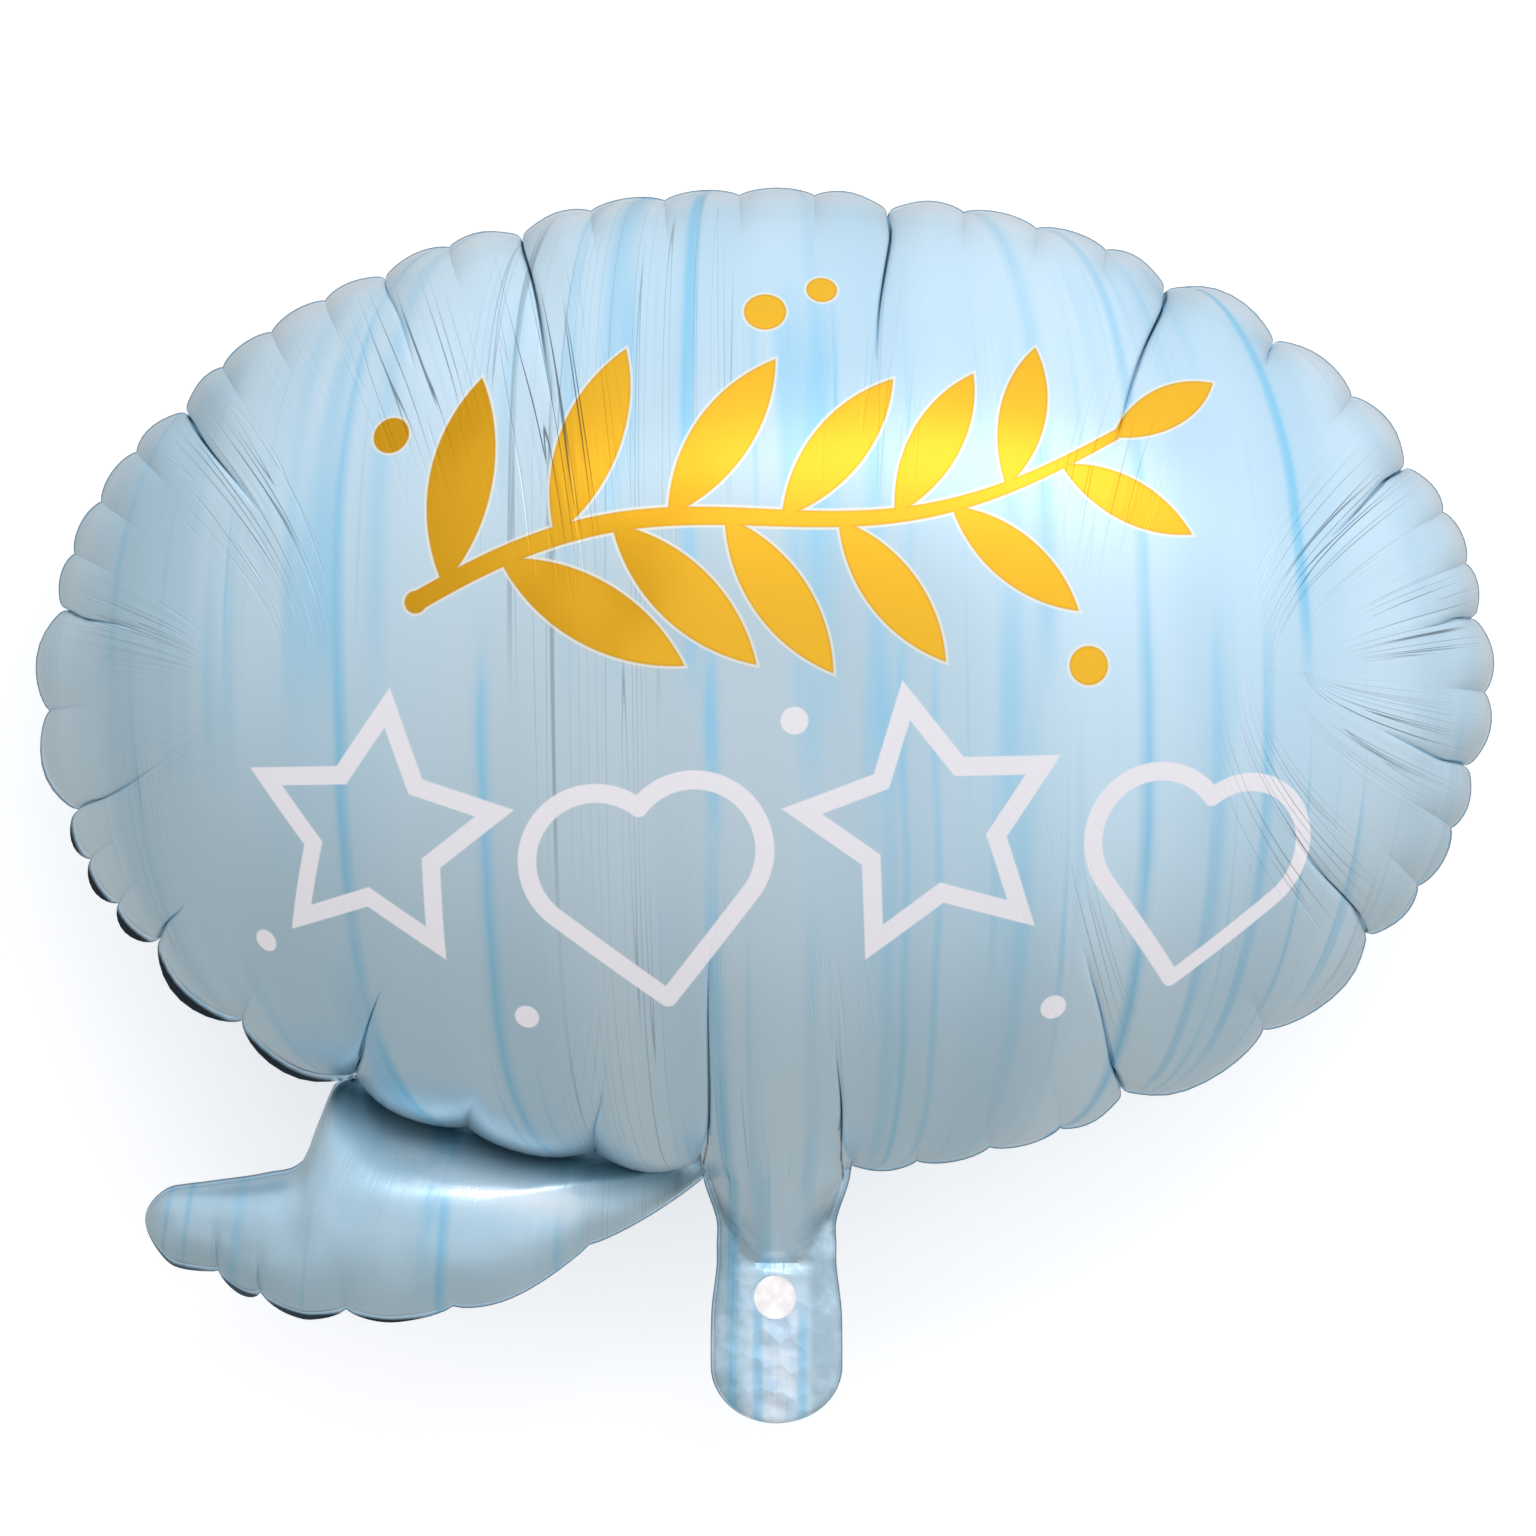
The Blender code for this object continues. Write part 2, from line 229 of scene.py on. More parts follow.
def rimColumns():        # bearing, place within its scallop, and swell of the scallop, for every column
    bearings, within, swells = [], [], []
    steps = body["columnsPerScallop"]
    total = sum(crease[3] for crease in creases)
    for i, (start, pull, reach, count, fan) in enumerate(creases):
        sweep = (creases[(i + 1) % len(creases)][0] - start) % 360
        for scallop in range(count):
            for step in range(steps):
                t = step / steps
                t -= body["crowding"] * math.sin(math.tau * t) / math.tau
                bearings.append(math.radians(start + sweep * (scallop + t) / count))
                within.append(t)
                swells.append(sweep / count / (360 / total))
    bearings.append(bearings[0] + math.tau)
    within.append(0.0)
    swells.append(swells[0])
    return np.array(bearings), np.array(within), np.array(swells)


def rimScale(bearing):        # metres along the rim for each radian of bearing
    return np.hypot(semiWide * np.sin(bearing), semiTall * np.cos(bearing))


def wanderOf(across, inward, crease):        # how far a crease strays sideways from its straight run
    start, pull, reach, count, fan = crease
    line = np.sin(inward / reach * 4.0 + start) * (1 - fade(inward / 0.02)) * fade(0.8 * inward / reach)
    return body["creaseWander"] * line * bell(across, 0.02)


def bodyRows():        # share of the way out, on the seam's edge or not, front or back
    front = [(i / body["frontRows"], 0, 1) for i in range(body["frontRows"] + 1)]
    back = [(i / body["backRows"], 0, -1) for i in range(body["backRows"], -1, -1)]
    return np.array(front + [(1.0, 1, 1), (1.0, 1, -1)] + back)


def backSeam(column):        # how far the back film shows past a scallop at the lower left, where its edge gets painted shade
    bearings, within, swells = rimColumns()
    start, end = body["darkBearings"]
    degrees = np.degrees(bearings[column]) % 360
    return arch(within[column]) * fade(1.7 * np.abs(degrees - (start + end) / 2) / (end - start)) ** 0.5


def bodyDark(column, row):
    share, edge, side = bodyRows()[row].T
    return np.maximum(backSeam(column), body["seamShade"]) * edge


def bodyPlace(column, row):
    bearings, within, swells = rimColumns()
    columns = len(bearings) - 1
    share, edge, side = bodyRows()[row].T
    edge = edge * (body["seamWidth"] + body["darkWidth"] * backSeam(column))
    even = math.tau * column / columns
    bearing = even + (bearings[column] - even) * (1 - fade(share / body["straightFrom"]))
    minor = semiTall * np.sin(share * math.pi / 2)
    x = np.hypot(focus, minor) * np.cos(bearing)
    y = minor * np.sin(bearing)
    out = np.minimum(np.hypot(x / semiWide, y / semiTall), 1.0)
    z = (restDepth - halfSeam) * bulge(out)
    inward = np.hypot(semiWide * np.cos(bearing) - x, semiTall * np.sin(bearing) - y)
    steep = body["bulgePower"] * out ** (body["bulgePower"] - 2)
    normal = np.stack([steep * x / semiWide**2, steep * y / semiTall**2, 2 * z / restDepth**2], axis=1)
    normal /= np.linalg.norm(normal, axis=1)[:, None]
    scallop = body["scallopRise"] * swells[column] * (arch(within[column]) - body["scallopMean"])
    rise = scallop * fade(inward / body["scallopReach"]) + edge
    stray = np.zeros(len(column))
    for crease in creases:
        start, pull, reach, count, fan = crease
        across = wrapAngle(bearing - math.radians(start)) * rimScale(bearing)
        broad = bell(across, body["creaseSpread"]) * fade(inward / reach)
        sharp = np.exp(-np.abs(across) / body["creaseWidth"]) * lasting(inward / reach)
        rise -= pull * (broad + (sharp - broad) * body["creaseSharp"])
        stray += wanderOf(across, inward, crease) * side
    points = np.stack([x, y, z + halfSeam], axis=1) + normal * rise[:, None]
    points[:, 0] -= stray * semiWide * np.sin(bearing) / rimScale(bearing)
    points[:, 1] += stray * semiTall * np.cos(bearing) / rimScale(bearing)
    points[:, 2] = np.maximum(points[:, 2] * side, boxLow.z - seamLevel)
    return turned(points, body["leanDeg"]) + np.array(bodyCentre)


def limbRows(steps):        # once round a limb: share across, on the seam's edge or not, front or back
    middle = [(-math.cos(math.pi * step / steps), 0.0, 1) for step in range(steps + 1)]
    front = [(-1.0, -1.0, 1)] + middle + [(1.0, 1.0, 1)]
    back = [(across, edge, -1) for across, edge, side in reversed(front)]
    return np.array(front + back + front[:1])


# the curled tail

tail = {
    "length": 0.266,
    "rootBearingDeg": 266.6,
    "tipRadius": 0.014,
    "seamWidth": 0.0016,
    "columnsPerPinch": 14,
    "archSteps": 30,
    "pinches": (0.0, 0.241, 0.474, 0.657, 0.803, 0.875, 1.0),
    "pinchDepth": 0.0038,
    "pinchReach": 0.030,
    "grooveDepth": 0.0030,
    "grooveWidth": 0.0014,
    "dents": 0.0011,
    "darkShares": (0.60, 0.92),
    "darkWidth": 0.0020,
    "duskFrom": (-0.27, -0.17),     # the shade over the tip, from x to x and from y to y
    "duskUnder": (-0.165, -0.148),
    "duskAmount": 0.26,
    "valleySpan": (-0.225, -0.028),
    "valleyWide": 0.022,
    "valleyBlur": 0.012,
    "valleyLip": 0.004,
    "valleyHeight": 0.018,          # how far over the seam the valley's shade reaches
    "valleyHeightBlur": 0.005,
    "glossGap": 0.020,              # the glossy fold that runs beside the valley, with a painted highlight
    "glossWide": 0.0080,
    "glossSpan": (-0.176, -0.074),
    "glossBlur": 0.020,
    # share of the length; drop of the upper and lower edge and half-depth, as shares of the length; and how
    # far the upper side sinks into a valley beside the body
    "sections": (
        (0.000, -0.060, -0.032, 0.022, 0.60),
        (0.048, -0.066, 0.010, 0.036, 0.70),
        (0.227, -0.086, 0.124, 0.073, 0.80),
        (0.398, -0.126, 0.220, 0.103, 0.80),
        (0.568, -0.163, 0.246, 0.113, 0.75),
        (0.670, -0.163, 0.242, 0.105, 0.50),
        (0.706, -0.085, 0.240, 0.098, 0.20),
        (0.730, -0.026, 0.238, 0.090, 0.05),
        (0.790, -0.006, 0.220, 0.075, 0.00),
        (0.883, 0.008, 0.173, 0.056, 0.00),
        (0.952, 0.017, 0.150, 0.041, 0.00),
        (1.000, 0.027, 0.122, 0.030, 0.00),
    ),
}


def tailColumns():        # share of the length and place within its scallop, for every column
    shares, within = [], []
    for start, end in zip(tail["pinches"], tail["pinches"][1:]):
        steps = tail["columnsPerPinch"] + 8 * (end == 1.0)
        for step in range(steps):
            t = step / steps
            within.append(0.5 if end == 1.0 and t > 0.5 else t)
            t = math.sin(t * math.pi / 2) if end == 1.0 else t
            shares.append(start + (end - start) * t)
    return np.array(shares + [1.0]), np.array(within + [0.5])


def tailBack(column, row):        # how far the back film shows past the tail's scallops, from 0 to 1, where its edge gets painted shade
    shares, within = tailColumns()
    start, end = tail["darkShares"]
    across, edge, side = limbRows(tail["archSteps"])[row].T
    near = fade(np.abs(shares[column] - (start + end) / 2) / (end - start)) ** 0.5
    return arch(within[column]) * near * (edge > 0)


def tailDark(column, row):
    across, edge, side = limbRows(tail["archSteps"])[row].T
    return np.maximum(tailBack(column, row), body["seamShade"] * np.abs(edge))


def tailPlace(column, row):
    dark = tailBack(column, row)
    shares, within = tailColumns()
    share, within = shares[column], within[column]
    across, edge, side = limbRows(tail["archSteps"])[row].T
    length = tail["length"]
    bearing = math.radians(tail["rootBearingDeg"])
    plan = np.array([[outerWide * math.cos(bearing), outerTall * math.sin(bearing)]])
    root = turned(plan, body["leanDeg"])[0] + np.array(bodyCentre)[:2]
    *sizes, sink = smoothThrough(tail["sections"], share)
    upper, lower, depth = (size * length for size in sizes)
    tip = tail["tipRadius"] / length
    past = np.maximum(np.maximum(0.0, (share - (1 - tip)) / tip), (tip - share) / tip)
    rounding = np.sqrt(np.maximum(0.0, 1 - past**2))
    half = (lower - upper) / 2 * rounding
    filled = half - np.minimum(tail["seamWidth"], 0.3 * half)
    reach = across * filled + edge * (half - filled)
    fromLower = np.maximum(half - reach, 0.0)
    pinch = (1 - arch(within)) * fade(fromLower / tail["pinchReach"]) * rounding
    x = root[0] - share * length
    y = root[1] - (upper + lower) / 2 - reach + tail["pinchDepth"] * pinch
    y -= tail["darkWidth"] * dark * rounding
    z = depth * rounding * bulge(across) * (1 - sink * (1 - fade(-across)))
    nearest = np.min(np.abs(share[:, None] - np.array(tail["pinches"][1:-1])[None, :]), axis=1) * length
    groove = np.exp(-nearest / tail["grooveWidth"]) * fade(fromLower / tail["pinchReach"])
    z = np.maximum(z - tail["grooveDepth"] * groove * bulge(across), 0.0)
    place = np.stack([x, y, side * (z + halfSeam)], axis=1)
    dents = roughness3(place, 38, 4) + 0.5 * roughness3(place, 95, 9)
    place[:, 2] += side * tail["dents"] * dents * bulge(across) * rounding
    place[:, 2] += seamLevel
    return place


# the filling neck

neck = {
    "offset": 0.0047,
    "length": 0.1125,
    "mouthWide": 0.067,
    "waistWide": 0.0545,
    "wide": 0.0594,
    "throatEndWide": 0.026,
    "flatThickness": 0.0062,
    "endRadius": 0.026,
    "seamWidth": 0.0014,
    "columns": 120,
    "archSteps": 44,
    "crumple": 0.0006,
    "crumpleFrom": (0.030, 0.046),
    "crumpleWide": 0.022,
    "blend": 0.006,                 # how softly the throat flows out of the body
    "blendDrop": 0.0015,
    "stripes": (-0.0086, 0.0118),   # blue streaks beside the middle
    "stripeWide": 0.0034,
    "crossFold": {"fromRim": 0.0395, "depth": 0.0022, "width": 0.0022, "halfWide": 0.013},
}
hole = {"wide": 0.0208, "fromRim": 0.0550, "offset": -0.0015, "floor": 0.0013}


def neckDark(column, row):
    across, edge, side = limbRows(neck["archSteps"])[row].T
    return body["seamShade"] * np.abs(edge)


def neckPlace(column, row):
    across, edge, side = limbRows(neck["archSteps"])[row].T
    length = neck["length"]
    mouth, waist, throatEnd = (neck[size] / 2 for size in ("mouthWide", "waistWide", "throatEndWide"))
    start = -0.80 * length
    sections = (
        (start, 0.60 * mouth, 0.60 * mouth, 0.72 * restDepth),
        (-0.36 * length, 0.95 * mouth, 0.95 * mouth, 0.57 * restDepth),
        (-0.18 * length, 1.02 * mouth, 0.98 * mouth, 0.44 * restDepth),
        (0.0, mouth, 0.90 * mouth, 0.31 * restDepth),
        (0.18 * length, waist, 0.5 * mouth + 0.5 * throatEnd, 0.16 * restDepth),
        (0.28 * length, waist, 0.2 * mouth + 0.8 * throatEnd, 0.07 * restDepth),
        (0.36 * length, waist, throatEnd, 0.0),
        (0.56 * length, neck["wide"] / 2, throatEnd, 0.0),
        (length, neck["wide"] / 2, throatEnd, 0.0),
    )
    along = start + (length - start) * np.sin(column / neck["columns"] * math.pi / 2)
    width, throatWide, throatDeep = smoothThrough(sections, along)
    past = np.maximum(0.0, 1 - (length - along) / neck["endRadius"])
    rounding = np.sqrt(np.maximum(0.0, 1 - past**2)) * np.minimum(1.0, column)
    half = width * rounding
    filled = half - np.minimum(neck["seamWidth"], 0.3 * half)
    reach = across * filled + edge * (half - filled)
    flat = neck["flatThickness"] / 2 - halfSeam
    film = flat * bulge(across) * rounding
    off = np.minimum(np.abs(across * filled / throatWide), 1.0)
    swell = bulge(off) + (((1 - off**2) ** 1.3) - bulge(off)) * np.clip(along / (0.2 * length), 0.0, 1.0)
    z = film + rounding * np.maximum(throatDeep, 0.0) * swell
    place = np.stack([neck["offset"] + bodyCentre.x + reach, rimBottom - along, z + halfSeam], axis=1)
    plan = turned(place - np.array(bodyCentre), -body["leanDeg"])
    under = restDepth * bulge(np.hypot(plan[:, 0] / semiWide, plan[:, 1] / semiTall))
    under -= neck["blendDrop"] + 0.010 * across**2
    blended = neck["blend"] * np.logaddexp(under / neck["blend"], z / neck["blend"])
    z += (blended - z) * np.clip(-along / 0.004, 0.0, 1.0) * (1 - fade((along - start) / 0.02))
    ridges = roughness3(place, 75, 2, "VORONOI_F1") + 0.5 * roughness3(place, 170, 6, "VORONOI_F1")
    loose = np.clip((along - 0.032) / 0.014, 0.0, 1.0) * bell(across, 0.62) * rounding
    fold = neck["crossFold"]
    dip = fold["depth"] * bell(along - fold["fromRim"], fold["width"]) * bell(reach, fold["halfWide"])
    lowered = z + neck["crumple"] * ridges * loose - dip * (side > 0)
    place[:, 2] = seamLevel + side * (np.maximum(lowered, 0.2 * film) + halfSeam)
    return place


# the envelope: body, neck and tail are one bag of two films

def makeDisc(name, radius, low, high):        # an upright cutter
    bm = bmesh.new()
    bmesh.ops.create_cone(bm, cap_ends=True, segments=64, radius1=radius, radius2=radius, depth=high - low)
    x = bodyCentre.x + neck["offset"] + hole["offset"]
    bmesh.ops.translate(bm, verts=bm.verts, vec=(x, rimBottom - hole["fromRim"], (low + high) / 2))
    mesh = bpy.data.meshes.new(name)
    bm.to_mesh(mesh)
    bm.free()
    return newObject(name, mesh)


def makeEnvelope():
    bearings, within, swells = rimColumns()
    envelope = closedSkin("foilEnvelope", len(bearings) - 1, len(bodyRows()) - 1, bodyPlace, bodyDark)
    neckRows = len(limbRows(neck["archSteps"])) - 1
    throat = closedSkin("neckSkin", neck["columns"], neckRows, neckPlace, neckDark)
    tailRows = len(limbRows(tail["archSteps"])) - 1
    curl = closedSkin("tailSkin", len(tailColumns()[0]) - 1, tailRows, tailPlace, tailDark)
    cutter = makeDisc("fillingHole", hole["wide"] / 2, seamLevel + hole["floor"], boxHigh.z)
    shapedBy(envelope, [(throat, "UNION"), (curl, "UNION"), (cutter, "DIFFERENCE")])
    envelope.data.shade_smooth()
    envelope.data.set_sharp_from_angle(angle=math.radians(50))
    return envelope


envelope = makeEnvelope()
print("envelope modelled:", len(envelope.data.vertices), "vertices")


# where each point of the surface lies on the printed film

def arcLength(share):        # length of a filled film from its middle out to a share of the half-width
    angle = np.linspace(0.0, math.pi / 2, 400)
    steps = np.diff(angle) / np.sqrt(1 + np.sin((angle[1:] + angle[:-1]) / 2) ** 2)
    lengths = np.concatenate([[0.0], np.cumsum(steps)])
    inside = np.interp(np.minimum(share, 1.0), np.sin(angle), lengths)
    return inside + np.maximum(share - 1.0, 0.0)


def filmPlan(points):        # metres on the flat film, measured from the middle of the oval
    plan = turned(points - np.array(bodyCentre), -body["leanDeg"])
    out = np.maximum(np.hypot(plan[:, 0] / semiWide, plan[:, 1] / semiTall), 1e-6)
    return plan[:, :2] * (arcLength(out) / out)[:, None]


# what the creases leave on the film
marks = {
    "fineAll": 0.12,                # strength of the fine wrinkles all along the rim
    "fineAllReach": 0.10,
    "fanWide": 0.026,
    "fanAt": 0.95,                  # middle and length of a fan, as shares of its crease's reach
    "fanLong": 0.5,
    "fanExtra": 0.008,              # added to the length, in metres
    "fullPull": 0.006,              # the pull from which a crease's line is fully dark
    "lineEnds": 0.003,              # how far past the rim a line still shows
}


def creasePlan(points):        # place along the rim and in from it; fans, crease lines, and the masks for the painted shade in the tail's valley and the painted highlight beside it
    plan = turned(points - np.array(bodyCentre), -body["leanDeg"])
    far = np.hypot(plan[:, 0] + focus, plan[:, 1])
    near = np.hypot(plan[:, 0] - focus, plan[:, 1])
    cosine = np.clip((far - near) / (2 * focus), -1.0, 1.0)
    bearing = np.arccos(cosine) * np.where(plan[:, 1] < 0, -1.0, 1.0)
    rim = np.stack([np.cos(bearing), np.sin(bearing)], axis=1) * (semiWide + semiTall) / 2
    gap = np.hypot(semiWide * cosine - plan[:, 0], semiTall * np.sin(bearing) - plan[:, 1])
    outside = np.where(far + near > 2 * semiWide, 1.0, 0.0)
    inward = gap * (1 - outside)
    front = np.where(points[:, 2] > seamLevel, 1.0, -1.0)
    fans = marks["fineAll"] * fade(inward / marks["fineAllReach"])
    lines = np.zeros(len(points))
    for crease in creases:
        start, pull, reach, count, fan = crease
        across = wrapAngle(bearing - math.radians(start)) * rimScale(bearing)
        across -= wanderOf(across, inward, crease) * front
        along = bell(inward - marks["fanAt"] * reach, marks["fanLong"] * reach + marks["fanExtra"])
        fans = np.maximum(fans, fan * bell(across, marks["fanWide"]) * along)
        line = np.clip(1 - np.abs(across) / body["creaseShade"], 0.0, 1.0) * lasting(inward / reach)
        lines = np.maximum(lines, line * min(1.0, pull / marks["fullPull"]))
    lines *= np.where(outside * gap > marks["lineEnds"], 0.0, 1.0)
    past = gap * (2 * outside - 1)
    height = points[:, 2] - seamLevel
    lip = tail["valleyLip"]
    inLip = np.clip((past + lip) / lip, 0.0, 1.0)
    onTail = spanned(points[:, 0], *tail["valleySpan"], tail["valleyBlur"]) * inLip
    onTail *= spanned(height, 0.0, tail["valleyHeight"] + 2 * np.maximum(past, 0.0), tail["valleyHeightBlur"])
    onTail *= np.where(plan[:, 1] < -semiTall / 2, 1.0, 0.0)
    valley = fade(past / tail["valleyWide"]) * onTail
    beside = bell(past - tail["glossGap"], tail["glossWide"])
    gloss = beside * spanned(points[:, 0], *tail["glossSpan"], tail["glossBlur"]) * onTail
    return np.column_stack([rim, inward]), fans, lines, valley, gloss


def markFilm(envelope):
    points = readPoints(envelope.data)
    side = np.where(points[:, 2] > seamLevel, 1.0, -1.0)
    addAttribute(envelope.data, "film", "FLOAT_VECTOR", np.column_stack([filmPlan(points), side]))
    wrinkle, fans, lines, valley, gloss = creasePlan(points)
    addAttribute(envelope.data, "wrinkle", "FLOAT_VECTOR", wrinkle)
    addAttribute(envelope.data, "fan", "FLOAT", fans)
    addAttribute(envelope.data, "crease", "FLOAT", lines)
    addAttribute(envelope.data, "valley", "FLOAT", valley)
    addAttribute(envelope.data, "gloss", "FLOAT", gloss)
    start, end = neck["crumpleFrom"]
    past = (rimBottom - start - points[:, 1]) / (end - start)
    sideways = points[:, 0] - bodyCentre.x - neck["offset"]
    crumple = np.clip(past, 0.0, 1.0) * bell(sideways, neck["crumpleWide"])
    addAttribute(envelope.data, "crumple", "FLOAT", crumple)


markFilm(envelope)
print("film measured")


# shader helpers

class Wire:        # a node's output, so that shader maths reads as Python
    def __init__(self, paint, socket):
        self.paint = paint
        self.socket = socket

    def maths(self, operation, *others):
        inputs = {i: value for i, value in enumerate((self, *others))}
        return self.paint.node("Math", {"operation": operation}, inputs)

    def __add__(self, other):
        return self.maths("ADD", other)

    def __radd__(self, other):
        return self.maths("ADD", other)

    def __sub__(self, other):
        return self.maths("SUBTRACT", other)

    def __rsub__(self, other):
        return self.paint.node("Math", {"operation": "SUBTRACT"}, {0: other, 1: self})

    def __mul__(self, other):
        return self.maths("MULTIPLY", other)

    def __rmul__(self, other):
        return self.maths("MULTIPLY", other)

    def between(self, low, high):        # 0 below low, 1 above high, smooth between
        settings = {"interpolation_type": "SMOOTHSTEP"}
        return self.paint.node("MapRange", settings, {"Value": self, "From Min": low, "From Max": high})


class Paint:        # the nodes of one material or world
    def __init__(self, owner, shader="Principled BSDF"):
        owner.use_nodes = True
        self.tree = owner.node_tree
        self.shader = self.tree.nodes[shader]

    def node(self, kind, settings={}, inputs={}, output=0):
        made = self.tree.nodes.new("ShaderNode" + kind)
        for name, value in settings.items():
            if name == "stops":
                for i, (place, colour) in enumerate(value):
                    stop = made.color_ramp.elements[i] if i < 2 else made.color_ramp.elements.new(place)
                    stop.position = place
                    stop.color = colour
            else:
                setattr(made, name, value)
        for name, value in inputs.items():
            self.put(made.inputs[name], value)
        return Wire(self, made.outputs[output])

    def put(self, socket, value):
        if isinstance(value, Wire):
            self.tree.links.new(value.socket, socket)
        else:
            socket.default_value = value

    def finish(self, **values):        # sets or links the shader's own sockets
        for name, value in values.items():
            words = "".join(" " + letter if letter.isupper() else letter for letter in name)
            self.put(self.shader.inputs[words[:1].upper() + words[1:]], value)

    def attribute(self, name, output="Fac"):
        return self.node("Attribute", {"attribute_name": name}, output=output)

    def noise(self, vector, scale, detail=2.0, roughness=0.5):
        inputs = {"Vector": vector, "Scale": scale, "Detail": detail, "Roughness": roughness}
        return self.node("TexNoise", {}, inputs)

    def split(self, vector):
        node = self.node("SeparateXYZ", {}, {0: vector}).socket.node
        return [Wire(self, output) for output in node.outputs]

    def grain(self, vector, name):        # one layer of stretched noise
        scale, shift, detail, roughness, span = grains[name]
        stretched = self.node("Mapping", {}, {"Vector": vector, "Scale": scale, "Location": shift})
        made = self.noise(stretched, 1.0, detail, roughness)
        return made.between(*span) if span else made

    def blend(self, factor, first, second, mode="MIX"):
        settings = {"data_type": "RGBA", "blend_type": mode}
        return self.node("Mix", settings, {0: factor, 6: first, 7: second}, output=2)


def linear(red, green, blue):        # a colour given as 0-255 screen values
    def channel(value):
        value /= 255
        return value / 12.92 if value <= 0.04045 else ((value + 0.055) / 1.055) ** 2.4
    return (channel(red), channel(green), channel(blue), 1.0)


# blue pearl film with its print

# deeper blue streaks, as place across the film in metres, width and strength
streaks = {
    "upper": (
        (-0.314, 0.0040, 0.35), (-0.188, 0.0036, 0.45), (-0.170, 0.0070, 0.25), (-0.086, 0.0030, 0.40),
        (-0.067, 0.0080, 0.30), (-0.0325, 0.0046, 0.75), (0.024, 0.0030, 0.25), (0.122, 0.0060, 0.40),
        (0.165, 0.0036, 0.45), (0.2436, 0.0045, 0.80),
    ),
    "lower": (
        (-0.300, 0.0030, 0.25), (-0.1876, 0.0040, 0.70), (-0.1234, 0.0040, 0.60), (-0.024, 0.0048, 0.70),
        (0.052, 0.0020, 0.50), (0.0585, 0.0020, 0.45), (0.073, 0.0022, 0.35), (0.1655, 0.0045, 0.65),
        (0.198, 0.0036, 0.55), (0.2235, 0.0036, 0.60),
    ),
    "sweep": 0.02,             # how far up the film the two sets change over
    "reach": 0.36,             # half of the film's width that they cover
    "wander": 0.006,
}
foil = {
    "pale": linear(205, 231, 244),
    "mid": linear(184, 217, 234),
    "deep": linear(134, 204, 236),
    "gold": linear(242, 186, 52),
    # painted shade on the gold, towards its left and along its edges
    "ochre": linear(206, 150, 28),
    "cream": linear(250, 242, 214),
    "white": linear(246, 243, 246),
    "shade": linear(36, 62, 78),
    # painted shade: the dark of the creases, of the seam's edge and of the back film's edge
    "back": linear(20, 33, 42),
    "dusk": linear(112, 140, 152),
    # painted sheen over the neck's crumpled middle
    "icy": linear(204, 226, 248),
    # painted shade in the tail's valley and on the neck's throat and flanges
    "valley": linear(44, 92, 108),
    # painted highlights: the lit rim, the tail's glossy fold and the neck's crumples
    "bright": linear(236, 246, 252),
    # painted shade: the film greyer towards its middle
    "grey": linear(186, 196, 198),
    "metallic": 0.65,
    "roughness": 0.36,
    "edge": 0.0004,            # softness of the print's edges
    "rim": 0.0011,             # width of the pale line round the gold
    "rimLightWide": 0.014,
    "bump": 0.0010,            # height of the fine relief, in metres
}
# layers of noise: stretch, shift, detail, roughness, and the span that becomes 0 to 1
grains = {
    "uneven": ((14.0, 11.0, 1.0), (0.0, 0.0, 0.0), 2.0, 0.5, (0.20, 0.55)),
    "broad": ((9.0, 0.9, 1.0), (0.0, 0.0, 0.0), 2.0, 0.5, (0.38, 0.66)),
    "bands": ((34.0, 1.6, 1.0), (3.0, 0.4, 2.0), 2.0, 0.6, (0.53, 0.70)),
    "threads": ((120.0, 2.4, 1.0), (7.0, 2.0, 5.0), 2.0, 0.6, (0.58, 0.72)),
    "patches": ((5.0, 6.0, 1.0), (1.0, 8.0, 3.0), 1.0, 0.5, (0.35, 0.65)),
    "strands": ((130.0, 1.0, 1.0), (5.0, 1.0, 9.0), 1.0, 0.5, None),
    "tufts": ((8.0, 3.0, 1.0), (4.0, 6.0, 2.0), 1.0, 0.5, (0.56, 0.66)),
    "hairs": ((170.0, 170.0, 5.0), (0.0, 0.0, 0.0), 1.0, 0.5, None),
    "pleats": ((120.0, 120.0, 9.0), (0.0, 0.0, 0.0), 2.0, 0.6, None),
}
amounts = {                    # how strongly each layer covers the ones before it
    "rimLight": 0.55,
    "bands": 0.62,
    "threads": 0.52,
    "streaks": 1.5,
    "strands": 0.38,
    "white": 0.93,
    "goldRim": 0.65,
    "folds": 0.96,
    "fans": 0.74,
    "valley": 0.90,
    "gloss": 0.80,
    "neckShade": 0.62,
    "neckIcy": 0.45,
    "neckLights": 0.60,
    "neckStripes": 0.60,
}


